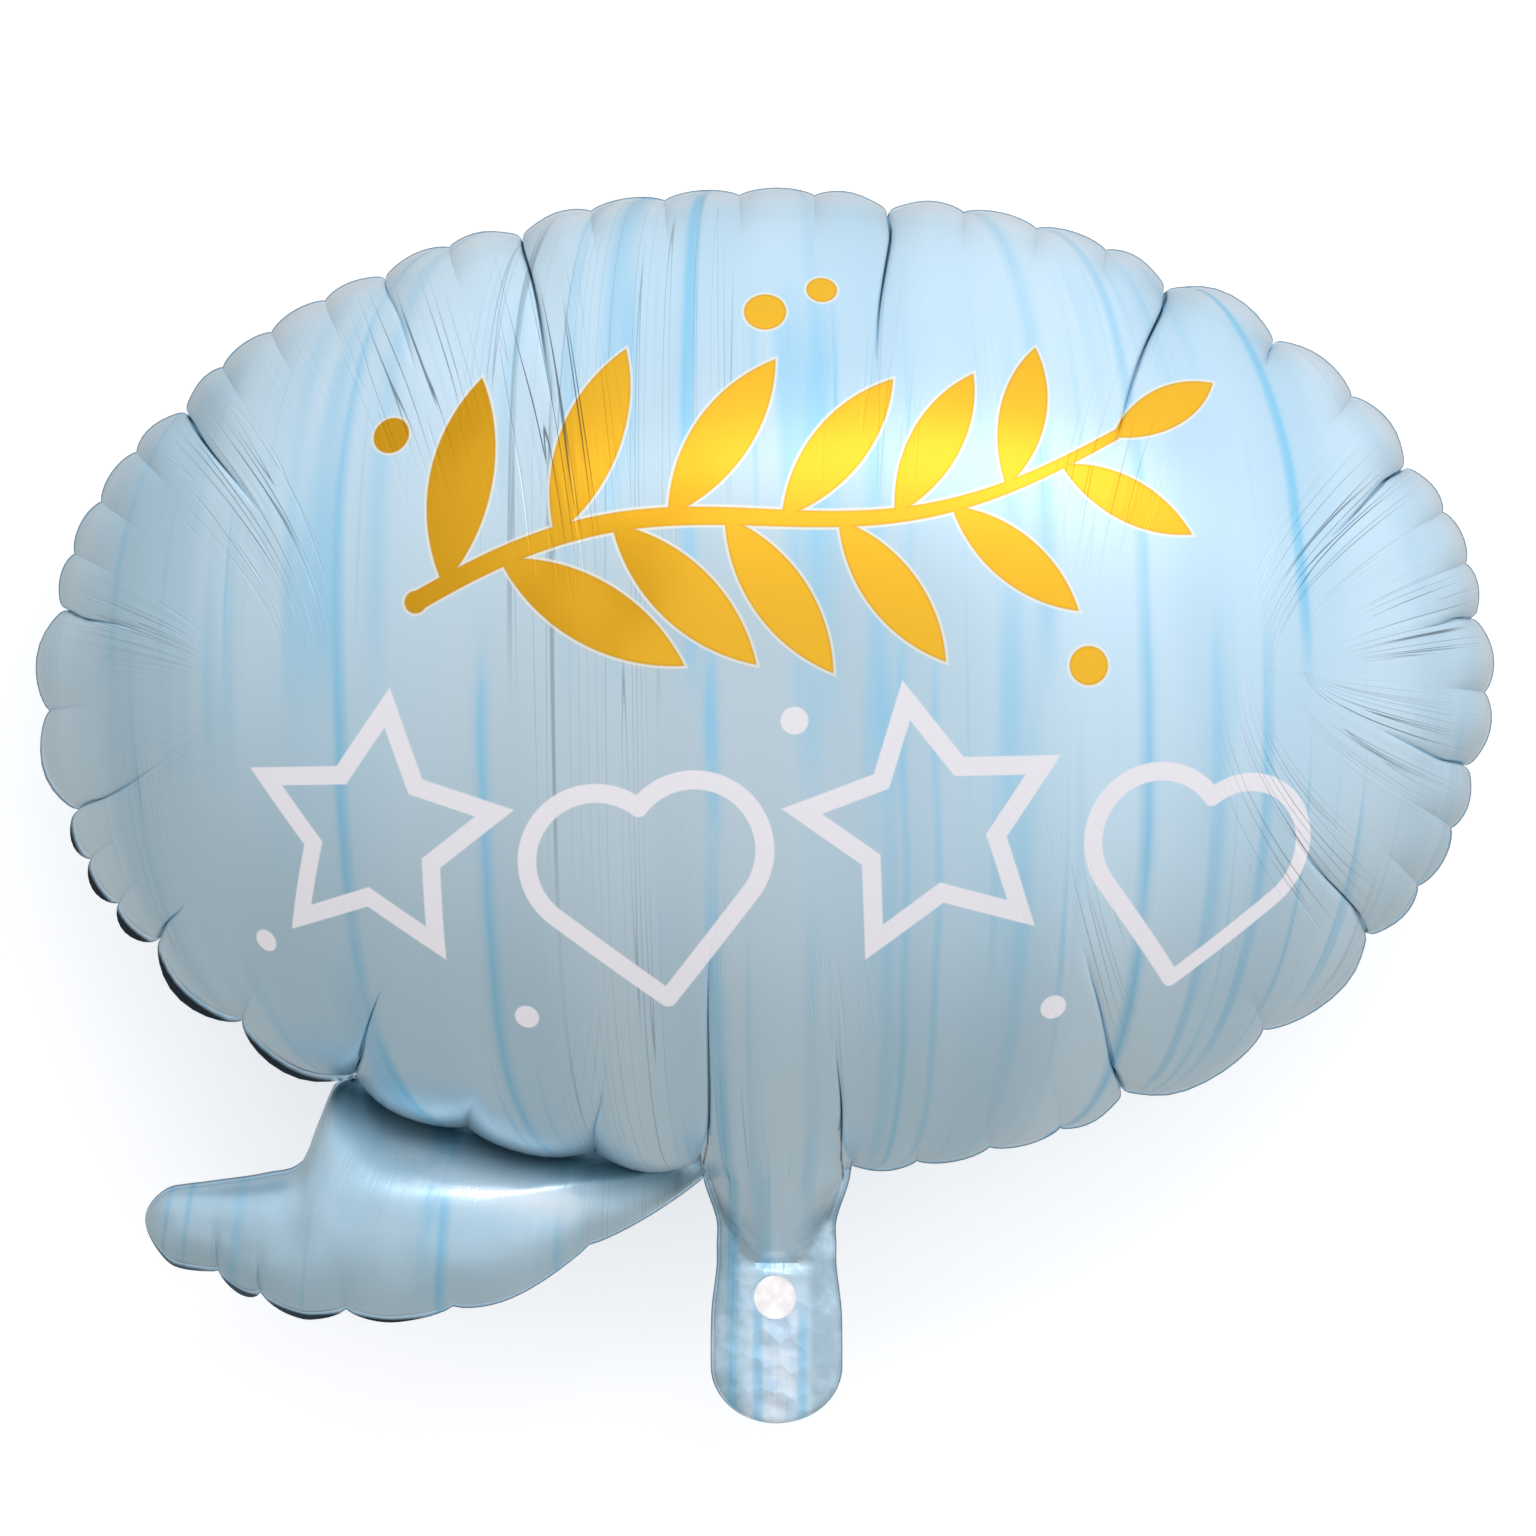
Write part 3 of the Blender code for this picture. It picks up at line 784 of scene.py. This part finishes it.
# the print: a gold leafy sprig over a row of white outlined stars and hearts, in metres from the middle
sprig = {
    "from": -0.152,
    "to": 0.158,
    "middle": 0.070,
    "rise": 0.25,
    "sway": 0.016,
    "turn": 19.0,               # radians of sway for each metre
    "stemWide": (0.0100, 0.0052),
    "leaves": 12,
    "leafLong": (0.096, 0.064),
    "leafSlim": 0.30,           # a leaf's width over its length
    "leafLeanDeg": 54,
    "berries": (                # place and radius
        (-0.166, 0.112, 0.0085), (0.002, 0.166, 0.0095), (0.028, 0.178, 0.0070), (0.140, 0.004, 0.0085),
    ),
}
whiteRow = {
    "centre": (0.009, -0.076),
    "spacing": 0.122,
    "stagger": 0.011,
    "shapes": ("star", "heart", "star", "heart"),
    "tiltDeg": (-9, 7, 10, -8),
    "size": {"star": 0.056, "heart": 0.086},
    "starWaist": 0.52,
    "stroke": 0.0082,
    "dots": (                   # place and radius
        (-0.110, -0.150, 0.0056), (0.012, -0.018, 0.0060), (0.128, -0.150, 0.0060), (-0.236, -0.118, 0.0056),
    ),
}


def stemHeight(x):
    return sprig["middle"] + sprig["rise"] * x - sprig["sway"] * math.sin(sprig["turn"] * x)


def stemMark(x, y):        # positive inside the tapering stem
    sway = (x * sprig["turn"]).maths("SINE") * sprig["sway"]
    off = (y - (x * sprig["rise"] + sprig["middle"] - sway)).maths("ABSOLUTE")
    thick, thin = sprig["stemWide"]
    taper = (x - sprig["from"]) * ((thin - thick) / 2 / (sprig["to"] - sprig["from"])) + thick / 2
    ends = (x - (sprig["from"] + sprig["to"]) / 2).maths("ABSOLUTE")
    return (taper - off).maths("MINIMUM", (sprig["to"] - sprig["from"]) / 2 - ends)


def leafPlaces():        # middle, heading and length of each leaf
    count = sprig["leaves"]
    for i in range(count + 1):
        t = i / count
        x = sprig["from"] + (sprig["to"] - sprig["from"]) * (0.04 + 0.95 * t)
        heading = math.atan(sprig["rise"] - sprig["sway"] * sprig["turn"] * math.cos(sprig["turn"] * x))
        length = sprig["leafLong"][0] * (1 - t) + sprig["leafLong"][1] * t
        if i < count:
            heading += math.radians(sprig["leafLeanDeg"]) * (1 if i % 2 == 0 else -1)
        middle = (x + math.cos(heading) * length / 2, stemHeight(x) + math.sin(heading) * length / 2, 0.0)
        yield middle, heading, length


def leafMark(paint, flat, middle, heading, length):        # positive inside a leaf pointed at both ends
    placed = {"Vector": flat, "Location": middle, "Rotation": (0.0, 0.0, heading)}
    own = paint.node("Mapping", {"vector_type": "TEXTURE"}, placed)
    halfWide = sprig["leafSlim"] * length / 2
    radius = (length**2 / 4 + halfWide**2) / (2 * halfWide)
    upright = paint.node("VectorMath", {"operation": "ABSOLUTE"}, {0: own})
    ends = {0: upright, 1: (0.0, halfWide - radius, 0.0)}
    away = paint.node("VectorMath", {"operation": "DISTANCE"}, ends, 1)
    return radius - away


def dotMark(paint, flat, x, y, radius):        # positive inside a dot
    return radius - paint.node("VectorMath", {"operation": "DISTANCE"}, {0: flat, 1: (x, y, 0.0)}, 1)


def starMark(x, y, radius):        # positive inside a five-pointed star
    fifth = math.tau / 5
    angle = (x.maths("ARCTAN2", y) + math.tau).maths("MODULO", fifth) - fifth / 2
    angle = fifth / 2 - angle.maths("ABSOLUTE")
    far = (x * x + y * y).maths("SQRT")
    dip = radius * whiteRow["starWaist"]
    side = Vector((dip * math.sin(fifth / 2), dip * math.cos(fifth / 2) - radius))
    out = Vector((-side.y, side.x)) / side.length
    return (radius - far * angle.maths("COSINE")) * out.y - far * angle.maths("SINE") * out.x


def heartMark(x, y, size):        # positive inside a heart
    x, y = x.maths("ABSOLUTE") * (1 / size), y * (1 / size) + 0.62
    lobe = math.sqrt(2) / 4 - hypot(x - 0.25, y - 0.75)
    half = (x + y).maths("MAXIMUM", 0.0) * 0.5
    side = hypot(x, y - 1.0).maths("MINIMUM", hypot(x - half, y - half))
    below = side * ((y - x).maths("SIGN"))
    above = (x + y).maths("GREATER_THAN", 1.0)
    return (lobe * above + below * (1 - above)) * size


def hypot(x, y):
    return (x * x + y * y).maths("SQRT")


def most(marks):
    marks = list(marks)
    best = marks[0]
    for mark in marks[1:]:
        best = best.maths("MAXIMUM", mark)
    return best


def printMasks(paint, film):        # the gold, the gold with its pale rim, the gold's inside, and the white
    x, y, side = paint.split(film)
    flat = paint.node("CombineXYZ", {}, {0: x, 1: y})
    leaves = [leafMark(paint, flat, *leaf) for leaf in leafPlaces()]
    stemEnd = (sprig["from"], stemHeight(sprig["from"]), sprig["stemWide"][0] / 2)
    berries = [dotMark(paint, flat, *berry) for berry in (*sprig["berries"], stemEnd)]
    gold = most([stemMark(x, y), *leaves, *berries])
    outlines = [dotMark(paint, flat, *dot) for dot in whiteRow["dots"]]
    count = len(whiteRow["shapes"])
    for i, kind in enumerate(whiteRow["shapes"]):
        along = whiteRow["centre"][0] + whiteRow["spacing"] * (i - (count - 1) / 2)
        up = whiteRow["centre"][1] + whiteRow["stagger"] * (1 if kind == "star" else -1)
        turn = (0.0, 0.0, math.radians(whiteRow["tiltDeg"][i]))
        placed = {"Vector": flat, "Location": (along, up, 0.0), "Rotation": turn}
        own = paint.node("Mapping", {"vector_type": "TEXTURE"}, placed)
        ownX, ownY, rest = paint.split(own)
        shape = (starMark if kind == "star" else heartMark)(ownX, ownY, whiteRow["size"][kind])
        outlines.append(whiteRow["stroke"] / 2 - shape.maths("ABSOLUTE"))
    front = side.between(0.0, 0.5)
    edge = foil["edge"]
    rim = gold.between(-edge - foil["rim"], edge - foil["rim"]) * front
    inner = gold.between(edge, 3 * edge)
    white = most(outlines).between(-edge, edge) * front * (1 - rim)
    return gold.between(-edge, edge) * front, rim, inner, white


def streakStops(rows):
    stops = []
    for place, width, strength in rows:
        for x, level in ((place - width, 0.0), (place, strength), (place + width, 0.0)):
            stops.append((x / streaks["reach"] / 2 + 0.5, (level, level, level, 1.0)))
    return stops


def paintTail(paint, place, base):        # the shade over its tip
    x, y, z = paint.split(place)
    left = 1 - x.between(*tail["duskFrom"])
    below = 1 - y.between(*tail["duskUnder"])
    return paint.blend(left * below * tail["duskAmount"], base, foil["dusk"])


neckPaint = {                  # spans in metres, off the middle of the neck or along it from the rim
    "edge": (0.033, 0.036),
    "throat": (0.018, 0.036),
    "throatLean": 0.55,
    "throatFrom": (-0.008, 0.016),
    "throatTo": (0.026, 0.050),
    "throatShade": 0.8,
    "flanges": (0.012, 0.018),
    "flangesFrom": (0.030, 0.046),
    "flangeShade": 0.5,
    "middle": (0.006, 0.017),
    "middleFrom": (0.040, 0.060),
    "stripesFrom": (0.052, 0.070),
    "stripeCore": 0.0008,
}


def paintNeck(paint, place, base):        # painted shade on the throat and flanges, a painted sheen and highlights on the crumpled middle, and two blue streaks
    x, y, z = paint.split(place)
    along = rimBottom - y
    sideways = x - (bodyCentre.x + neck["offset"])
    off = sideways.maths("ABSOLUTE")
    onNeck = 1 - off.between(*neckPaint["edge"])
    throat = (off + along * neckPaint["throatLean"]).between(*neckPaint["throat"])
    throat *= along.between(*neckPaint["throatFrom"])
    throat *= 1 - along.between(*neckPaint["throatTo"])
    flanges = off.between(*neckPaint["flanges"]) * along.between(*neckPaint["flangesFrom"])
    # painted shade on the throat and flanges, broken up by clouds
    paintedNeckShade = (throat * neckPaint["throatShade"] + flanges * neckPaint["flangeShade"]) * onNeck
    clouds = paint.noise(place, 62.0, 3.0, 0.6).between(0.30, 0.62)
    base = paint.blend(paintedNeckShade * clouds * amounts["neckShade"], base, foil["valley"])
    # painted sheen and highlights on the crumpled middle of the neck
    lights = paint.noise(place, 75.0, 2.0, 0.6).between(0.46, 0.62)
    middle = along.between(*neckPaint["middleFrom"]) * (1 - off.between(*neckPaint["middle"]))
    base = paint.blend(middle * amounts["neckIcy"], base, foil["icy"])
    base = paint.blend(lights * middle * amounts["neckLights"], base, foil["bright"])
    for stripe in neck["stripes"]:
        near = 1 - (sideways - stripe).maths("ABSOLUTE").between(neckPaint["stripeCore"], neck["stripeWide"])
        near *= along.between(*neckPaint["stripesFrom"])
        base = paint.blend(near * amounts["neckStripes"], base, foil["deep"])
    return base


def paintFoil():
    material = bpy.data.materials.new("blue pearl foil")
    paint = Paint(material)
    film = paint.attribute("film", "Vector")
    wrinkle = paint.attribute("wrinkle", "Vector")
    gold, rim, inner, white = printMasks(paint, film)

    # watercolour streaks that run up and down the film
    acrossFilm, upFilm, side = paint.split(film)
    stray = (paint.noise(film, 9.0, 2.0) - 0.5) * streaks["wander"]
    spot = (acrossFilm + stray) * (0.5 / streaks["reach"]) + 0.5
    ramps = (streakStops(streaks[half]) for half in ("lower", "upper"))
    strokes = (paint.node("ValToRGB", {"stops": stops}, {0: spot}) for stops in ramps)
    wash = paint.blend(upFilm.between(-streaks["sweep"], 2 * streaks["sweep"]), *strokes)
    uneven = paint.grain(film, "uneven")
    patches = paint.grain(film, "patches")
    base = paint.blend(paint.grain(film, "broad"), foil["pale"], foil["mid"])
    # painted shade: the film greyer towards its middle
    middle = paint.node("VectorMath", {"operation": "DISTANCE"}, {0: film, 1: (-0.04, 0.0, 1.0)}, 1)
    base = paint.blend(0.5 - middle.between(0.03, 0.20) * 0.5, base, foil["grey"])
    rimX, rimY, inward = paint.split(wrinkle)
    rimLight = (rimX * 0.5 + rimY).between(-0.05, 0.15) * (1 - inward.between(0.0, foil["rimLightWide"]))
    base = paint.blend(rimLight * amounts["rimLight"], base, foil["bright"])        # the lit side of the rim
    for name in ("bands", "threads"):
        base = paint.blend(paint.grain(film, name) * patches * amounts[name], base, foil["deep"])
    base = paint.blend(wash * uneven * amounts["streaks"], base, foil["deep"])
    strands = 1 - (paint.grain(film, "strands") - 0.5).maths("ABSOLUTE").between(0.0, 0.010)
    base = paint.blend(strands * paint.grain(film, "tufts") * amounts["strands"], base, foil["shade"])
    base = paint.blend(white * amounts["white"], base, foil["white"])
    # the gold painted darker towards its left and along its edges (painted shade), with some random
    # unevenness in tone
    goldToneAndShade = (acrossFilm + (uneven - 0.5) * 0.08).between(-0.17, 0.05)
    goldBase = paint.blend(goldToneAndShade * (inner * 0.5 + 0.5), foil["ochre"], foil["gold"])
    base = paint.blend((rim - gold) * amounts["goldRim"], base, foil["cream"])
    base = paint.blend(gold, base, goldBase)

    # painted shade in the creases, at the seam's edge, in the fine wrinkles at their ends and in the tail's
    # valley; a painted highlight on the tail; and the crumpled neck, with its painted shade and sheen
    fans = paint.attribute("fan")
    fine = (paint.grain(wrinkle, "hairs") - 0.5).maths("ABSOLUTE").between(0.0, 0.020)
    pleats = paint.grain(wrinkle, "pleats")
    # painted shade in the creases
    folds = paint.attribute("crease").between(0.25, 0.90)
    base = paint.blend(folds * amounts["folds"], base, foil["back"])
    # painted shade along the seam's edge and on the back film's edge at the lower left
    base = paint.blend(paint.attribute("dark").between(0.05, 0.45), base, foil["back"])
    # painted shade along the fine wrinkles of each fan
    base = paint.blend((1 - fine) * fans.between(0.35, 0.85) * amounts["fans"], base, foil["shade"])
    # painted shade in the valley between the body and the tail
    base = paint.blend(paint.attribute("valley") * amounts["valley"], base, foil["valley"])
    place = paint.node("TexCoord", output="Object")
    # a painted highlight along the tail's glossy fold, which is also less rough
    gloss = paint.attribute("gloss") * paint.noise(place, 60.0, 3.0).between(0.20, 0.44)
    base = paint.blend(gloss * amounts["gloss"], base, foil["bright"])
    base = paintTail(paint, place, base)
    base = paintNeck(paint, place, base)
    crumple = paint.attribute("crumple")
    creased = paint.node("TexVoronoi", {}, {"Vector": place, "Scale": 105.0})
    height = (pleats * 0.7 + fine * 0.4) * fans + creased * crumple * 1.2
    normal = paint.node("Bump", {}, {"Height": height, "Strength": 1.0, "Distance": foil["bump"]})
    paint.finish(
        baseColor=base,
        metallic=(1 - white) * (gold * (1 - foil["metallic"]) + foil["metallic"]),
        roughness=foil["roughness"] - gold * 0.03 - crumple * 0.12 + white * 0.12 - gloss * 0.24,
        normal=normal,
    )
    return material


# white valve film in the filling hole

valve = {
    # painted light: the valve film glows a little
    "glow": 0.32,
    "roughness": 0.3,
    "bump": 0.0004,
    "wrinkle": 0.00035,
    "rings": 14,
    "columns": 72,
    "pale": linear(247, 243, 241),
    "cloudy": linear(228, 223, 224),
}


def valvePlace(column, row):
    low, high = (Vector(corner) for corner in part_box("valve_film"))
    rings = valve["rings"]
    share = np.where(row <= rings, row, 2 * rings + 1 - row) / rings
    top = row <= rings
    angle = math.tau * column / valve["columns"]
    radius = (high.x - low.x) / 2 * share
    place = np.stack([radius * np.cos(angle), radius * np.sin(angle), np.zeros(len(row))], axis=1)
    relief = roughness3(place, 260, 3) + 0.6 * roughness3(place, 620, 5)
    middle = (low + high) / 2
    lift = (high.z - low.z) / 2 - valve["wrinkle"] + valve["wrinkle"] * relief * fade(share * 0.8)
    place[:, 2] = np.where(top, lift, low.z - middle.z)
    return place + np.array(middle)


def makeValve():
    return closedSkin("valveFilm", valve["columns"], 2 * valve["rings"] + 1, valvePlace)


def paintValve():
    material = bpy.data.materials.new("white valve film")
    paint = Paint(material)
    place = paint.node("TexCoord", output="Object")
    cloud = paint.noise(place, 180.0, 3.0)
    colour = paint.blend(cloud.between(0.3, 0.7), valve["pale"], valve["cloudy"])
    normal = paint.node("Bump", {}, {"Height": cloud, "Strength": 0.6, "Distance": valve["bump"]})
    paint.finish(
        baseColor=colour,
        roughness=cloud * 0.2 + valve["roughness"],
        normal=normal,
        # painted light: the valve film glows a little
        emissionColor=colour,
        emissionStrength=valve["glow"],
    )
    return material


envelope.data.materials.clear()
envelope.data.materials.append(paintFoil())
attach(envelope, "root")
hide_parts("foil_envelope")

valveFilm = makeValve()
valveFilm.data.shade_smooth()
valveFilm.data.materials.append(paintValve())
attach(valveFilm, "root")
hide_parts("valve_film")
print("foil and valve finished")


# floor, lights and camera

studio = {
    "floorSize": 60.0,
    "floor": (0.90, 0.90, 0.90, 1.0),
    "floorRoughness": 0.8,
    "glow": 0.42,
    "brightSide": (0.41, 0.76, 0.53),        # where the soft light comes from
    "turn": (-0.48, 1.04),                   # from the dim side to the bright one
    "bright": (1.10, 1.12, 1.19, 1.0),
    "dim": (0.48, 0.445, 0.42, 1.0),
    "softbox": {
        "place": (0.44, 1.03, 1.95),
        "size": (1.50, 0.30),
        "twistDeg": 36,
        "power": 3.5,
        "colour": (1.0, 0.99, 0.97),
    },
}
view = {
    "framePixels": 1536,
    "outlinePixels": {"left": 39, "right": 1496, "top": 186, "bottom": 1425},
    "lens": 135.0,
    "sensor": 36.0,
}


def makeStudio():
    bm = bmesh.new()
    bmesh.ops.create_grid(bm, x_segments=1, y_segments=1, size=studio["floorSize"] / 2)
    mesh = bpy.data.meshes.new("floor")
    bm.to_mesh(mesh)
    bm.free()
    floor = newObject("floor", mesh)
    material = bpy.data.materials.new("pale floor")
    paint = Paint(material)
    paint.finish(
        baseColor=studio["floor"],
        roughness=studio["floorRoughness"],
        emissionColor=studio["floor"],
        emissionStrength=studio["glow"],
    )
    mesh.materials.append(material)
    floor.visible_glossy = False        # the foil mirrors the room and not the floor
    softbox = studio["softbox"]
    lamp = newObject("softbox", bpy.data.lights.new("softbox", "AREA"))
    lamp.data.shape = "RECTANGLE"
    lamp.data.size, lamp.data.size_y = softbox["size"]
    lamp.data.energy = softbox["power"]
    lamp.data.color = softbox["colour"]
    lamp.location = softbox["place"]
    aim = (bodyCentre - Vector(softbox["place"])).to_track_quat("-Z", "Y")
    twist = Quaternion((0.0, 0.0, 1.0), math.radians(softbox["twistDeg"]))
    lamp.rotation_euler = (aim @ twist).to_euler()
    world = bpy.data.worlds.new("studio")
    paint = Paint(world, "Background")
    sides = {0: paint.node("TexCoord"), 1: studio["brightSide"]}
    towards = paint.node("VectorMath", {"operation": "DOT_PRODUCT"}, sides, 1)
    paint.finish(color=paint.blend(towards.between(*studio["turn"]), studio["dim"], studio["bright"]))
    bpy.context.scene.world = world
    bpy.context.scene.view_settings.view_transform = "Standard"


def makeCamera():
    outline = view["outlinePixels"]
    perPixel = boxSize.x / (outline["right"] - outline["left"])
    middle = (boxLow + boxHigh) / 2
    shiftX = (view["framePixels"] - outline["left"] - outline["right"]) / 2 * perPixel
    shiftY = (outline["top"] + outline["bottom"] - view["framePixels"]) / 2 * perPixel
    data = bpy.data.cameras.new("camera")
    data.lens = view["lens"]
    data.sensor_width = view["sensor"]
    camera = newObject("camera", data)
    away = view["lens"] / view["sensor"] * view["framePixels"] * perPixel
    camera.location = (middle.x + shiftX, middle.y + shiftY, seamLevel + away)
    bpy.context.scene.camera = camera


makeStudio()
makeCamera()
print("studio ready")
